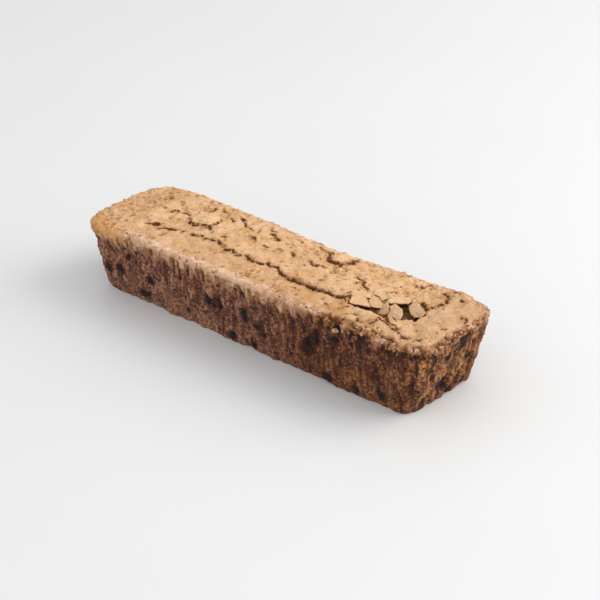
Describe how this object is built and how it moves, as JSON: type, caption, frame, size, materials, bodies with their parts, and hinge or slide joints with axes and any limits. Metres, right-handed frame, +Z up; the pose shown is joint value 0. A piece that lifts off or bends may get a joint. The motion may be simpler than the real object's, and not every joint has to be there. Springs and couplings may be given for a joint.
{
  "type": "carrot cake loaf",
  "caption": "Whole un-iced carrot cake from a long loaf tin, with a cracked domed crust, a broken pit near one end, fluted crumbly sides and raisins. A food to stand on a plate.",
  "frame": {"origin": "on the resting plane, under the middle of the cake", "axes": "+X along the cake towards the end with the broken pit, -Y out of the side with most raisins, +Z up"},
  "size_m": [0.3, 0.0826, 0.0559],
  "materials": {
    "cake": "matt baked crust and crumb",
    "raisin": "wrinkled, slightly glossy"
  },
  "bodies": {
    "root": {"cake": "cake", "raisin_01": "raisin", "raisin_02": "raisin", "raisin_03": "raisin", "raisin_04": "raisin", "raisin_05": "raisin", "raisin_06": "raisin", "raisin_07": "raisin", "raisin_08": "raisin", "raisin_09": "raisin", "raisin_10": "raisin", "raisin_11": "raisin", "raisin_12": "raisin", "raisin_13": "raisin", "raisin_14": "raisin", "raisin_15": "raisin", "raisin_16": "raisin", "raisin_17": "raisin", "raisin_18": "raisin", "raisin_19": "raisin", "raisin_20": "raisin", "raisin_21": "raisin", "raisin_22": "raisin", "raisin_23": "raisin"}
  },
  "joints": []
}
